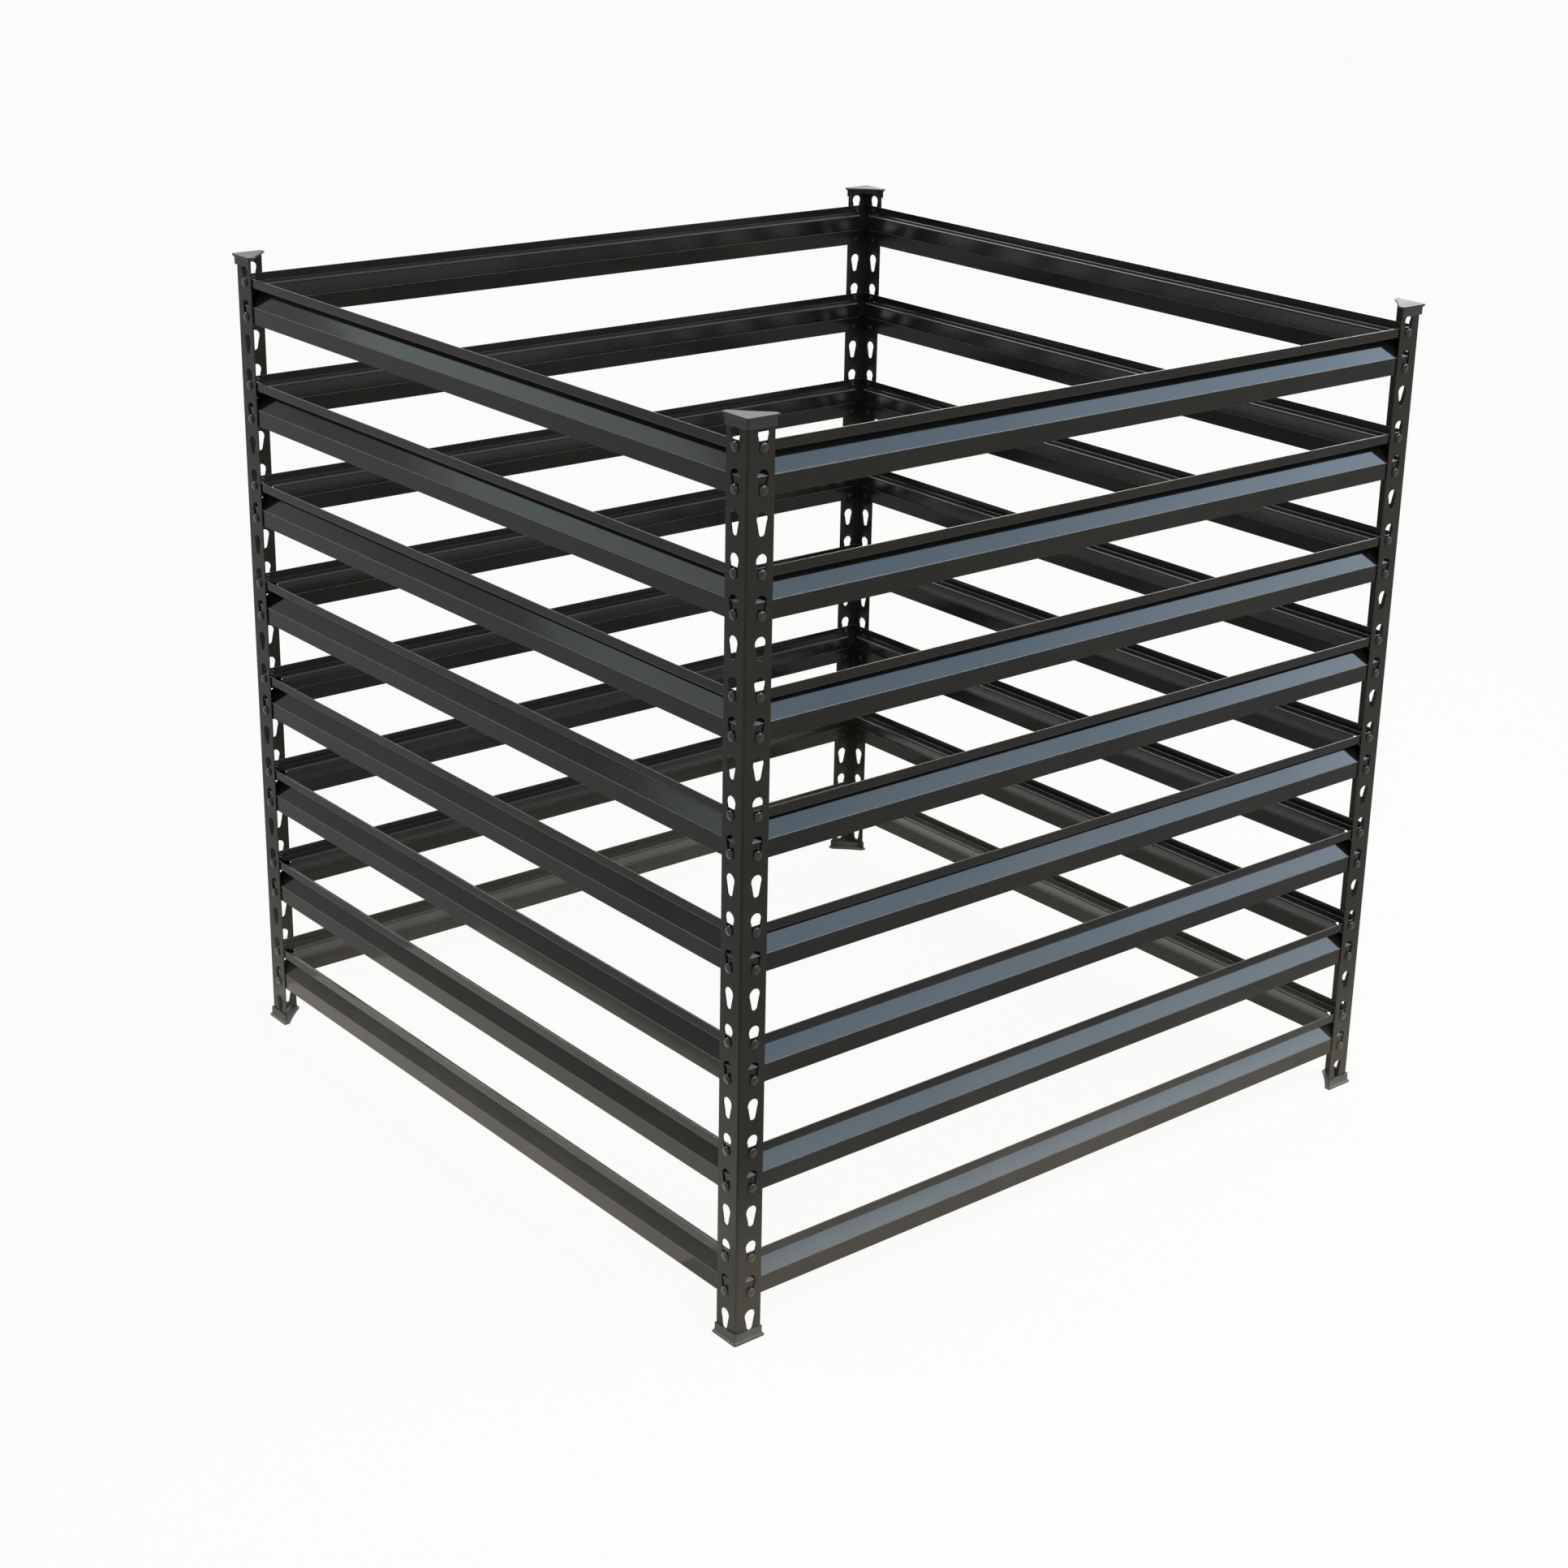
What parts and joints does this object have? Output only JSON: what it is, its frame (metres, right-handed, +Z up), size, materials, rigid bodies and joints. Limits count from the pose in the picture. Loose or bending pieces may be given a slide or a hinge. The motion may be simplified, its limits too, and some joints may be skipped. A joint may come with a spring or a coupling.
{
  "type": "metal compost bin",
  "caption": "Open square compost bin of black steel slats hung on slotted angle posts, with plastic caps and feet; no floor or lid.",
  "frame": {"origin": "on the ground under the middle of the bin", "axes": "+Z up, the front faces -Y, the left side faces -X and the right side +X"},
  "size_m": [0.897, 0.897, 0.9046],
  "materials": {
    "post_paint": "black paint, semi-gloss",
    "slat_paint": "black paint, glossy",
    "end_plastic": "black plastic, fine grain"
  },
  "bodies": {
    "frame": {"post_front_left": "post_paint", "post_front_right": "post_paint", "post_back_right": "post_paint", "post_back_left": "post_paint", "cap_front_left": "end_plastic", "cap_front_right": "end_plastic", "cap_back_right": "end_plastic", "cap_back_left": "end_plastic", "foot_front_left": "end_plastic", "foot_front_right": "end_plastic", "foot_back_right": "end_plastic", "foot_back_left": "end_plastic"},
    "slat_front_1": {"slat_front_1": "slat_paint"},
    "slat_front_2": {"slat_front_2": "slat_paint"},
    "slat_front_3": {"slat_front_3": "slat_paint"},
    "slat_front_4": {"slat_front_4": "slat_paint"},
    "slat_front_5": {"slat_front_5": "slat_paint"},
    "slat_front_6": {"slat_front_6": "slat_paint"},
    "slat_front_7": {"slat_front_7": "slat_paint"},
    "slat_front_8": {"slat_front_8": "slat_paint"},
    "slat_right_1": {"slat_right_1": "slat_paint"},
    "slat_right_2": {"slat_right_2": "slat_paint"},
    "slat_right_3": {"slat_right_3": "slat_paint"},
    "slat_right_4": {"slat_right_4": "slat_paint"},
    "slat_right_5": {"slat_right_5": "slat_paint"},
    "slat_right_6": {"slat_right_6": "slat_paint"},
    "slat_right_7": {"slat_right_7": "slat_paint"},
    "slat_right_8": {"slat_right_8": "slat_paint"},
    "slat_back_1": {"slat_back_1": "slat_paint"},
    "slat_back_2": {"slat_back_2": "slat_paint"},
    "slat_back_3": {"slat_back_3": "slat_paint"},
    "slat_back_4": {"slat_back_4": "slat_paint"},
    "slat_back_5": {"slat_back_5": "slat_paint"},
    "slat_back_6": {"slat_back_6": "slat_paint"},
    "slat_back_7": {"slat_back_7": "slat_paint"},
    "slat_back_8": {"slat_back_8": "slat_paint"},
    "slat_left_1": {"slat_left_1": "slat_paint"},
    "slat_left_2": {"slat_left_2": "slat_paint"},
    "slat_left_3": {"slat_left_3": "slat_paint"},
    "slat_left_4": {"slat_left_4": "slat_paint"},
    "slat_left_5": {"slat_left_5": "slat_paint"},
    "slat_left_6": {"slat_left_6": "slat_paint"},
    "slat_left_7": {"slat_left_7": "slat_paint"},
    "slat_left_8": {"slat_left_8": "slat_paint"}
  },
  "joints": [
    {"name": "lift_front_1", "type": "slide", "parent": "frame", "child": "slat_front_1", "axis": [0, 0, 1], "range_m": [0, 0.01225]},
    {"name": "lift_front_2", "type": "slide", "parent": "frame", "child": "slat_front_2", "axis": [0, 0, 1], "range_m": [0, 0.01225]},
    {"name": "lift_front_3", "type": "slide", "parent": "frame", "child": "slat_front_3", "axis": [0, 0, 1], "range_m": [0, 0.01225]},
    {"name": "lift_front_4", "type": "slide", "parent": "frame", "child": "slat_front_4", "axis": [0, 0, 1], "range_m": [0, 0.01225]},
    {"name": "lift_front_5", "type": "slide", "parent": "frame", "child": "slat_front_5", "axis": [0, 0, 1], "range_m": [0, 0.01225]},
    {"name": "lift_front_6", "type": "slide", "parent": "frame", "child": "slat_front_6", "axis": [0, 0, 1], "range_m": [0, 0.01225]},
    {"name": "lift_front_7", "type": "slide", "parent": "frame", "child": "slat_front_7", "axis": [0, 0, 1], "range_m": [0, 0.01225]},
    {"name": "lift_front_8", "type": "slide", "parent": "frame", "child": "slat_front_8", "axis": [0, 0, 1], "range_m": [0, 0.01225]},
    {"name": "lift_right_1", "type": "slide", "parent": "frame", "child": "slat_right_1", "axis": [0, 0, 1], "range_m": [0, 0.01225]},
    {"name": "lift_right_2", "type": "slide", "parent": "frame", "child": "slat_right_2", "axis": [0, 0, 1], "range_m": [0, 0.01225]},
    {"name": "lift_right_3", "type": "slide", "parent": "frame", "child": "slat_right_3", "axis": [0, 0, 1], "range_m": [0, 0.01225]},
    {"name": "lift_right_4", "type": "slide", "parent": "frame", "child": "slat_right_4", "axis": [0, 0, 1], "range_m": [0, 0.01225]},
    {"name": "lift_right_5", "type": "slide", "parent": "frame", "child": "slat_right_5", "axis": [0, 0, 1], "range_m": [0, 0.01225]},
    {"name": "lift_right_6", "type": "slide", "parent": "frame", "child": "slat_right_6", "axis": [0, 0, 1], "range_m": [0, 0.01225]},
    {"name": "lift_right_7", "type": "slide", "parent": "frame", "child": "slat_right_7", "axis": [0, 0, 1], "range_m": [0, 0.01225]},
    {"name": "lift_right_8", "type": "slide", "parent": "frame", "child": "slat_right_8", "axis": [0, 0, 1], "range_m": [0, 0.01225]},
    {"name": "lift_back_1", "type": "slide", "parent": "frame", "child": "slat_back_1", "axis": [0, 0, 1], "range_m": [0, 0.01225]},
    {"name": "lift_back_2", "type": "slide", "parent": "frame", "child": "slat_back_2", "axis": [0, 0, 1], "range_m": [0, 0.01225]},
    {"name": "lift_back_3", "type": "slide", "parent": "frame", "child": "slat_back_3", "axis": [0, 0, 1], "range_m": [0, 0.01225]},
    {"name": "lift_back_4", "type": "slide", "parent": "frame", "child": "slat_back_4", "axis": [0, 0, 1], "range_m": [0, 0.01225]},
    {"name": "lift_back_5", "type": "slide", "parent": "frame", "child": "slat_back_5", "axis": [0, 0, 1], "range_m": [0, 0.01225]},
    {"name": "lift_back_6", "type": "slide", "parent": "frame", "child": "slat_back_6", "axis": [0, 0, 1], "range_m": [0, 0.01225]},
    {"name": "lift_back_7", "type": "slide", "parent": "frame", "child": "slat_back_7", "axis": [0, 0, 1], "range_m": [0, 0.01225]},
    {"name": "lift_back_8", "type": "slide", "parent": "frame", "child": "slat_back_8", "axis": [0, 0, 1], "range_m": [0, 0.01225]},
    {"name": "lift_left_1", "type": "slide", "parent": "frame", "child": "slat_left_1", "axis": [0, 0, 1], "range_m": [0, 0.01225]},
    {"name": "lift_left_2", "type": "slide", "parent": "frame", "child": "slat_left_2", "axis": [0, 0, 1], "range_m": [0, 0.01225]},
    {"name": "lift_left_3", "type": "slide", "parent": "frame", "child": "slat_left_3", "axis": [0, 0, 1], "range_m": [0, 0.01225]},
    {"name": "lift_left_4", "type": "slide", "parent": "frame", "child": "slat_left_4", "axis": [0, 0, 1], "range_m": [0, 0.01225]},
    {"name": "lift_left_5", "type": "slide", "parent": "frame", "child": "slat_left_5", "axis": [0, 0, 1], "range_m": [0, 0.01225]},
    {"name": "lift_left_6", "type": "slide", "parent": "frame", "child": "slat_left_6", "axis": [0, 0, 1], "range_m": [0, 0.01225]},
    {"name": "lift_left_7", "type": "slide", "parent": "frame", "child": "slat_left_7", "axis": [0, 0, 1], "range_m": [0, 0.01225]},
    {"name": "lift_left_8", "type": "slide", "parent": "frame", "child": "slat_left_8", "axis": [0, 0, 1], "range_m": [0, 0.01225]}
  ]
}
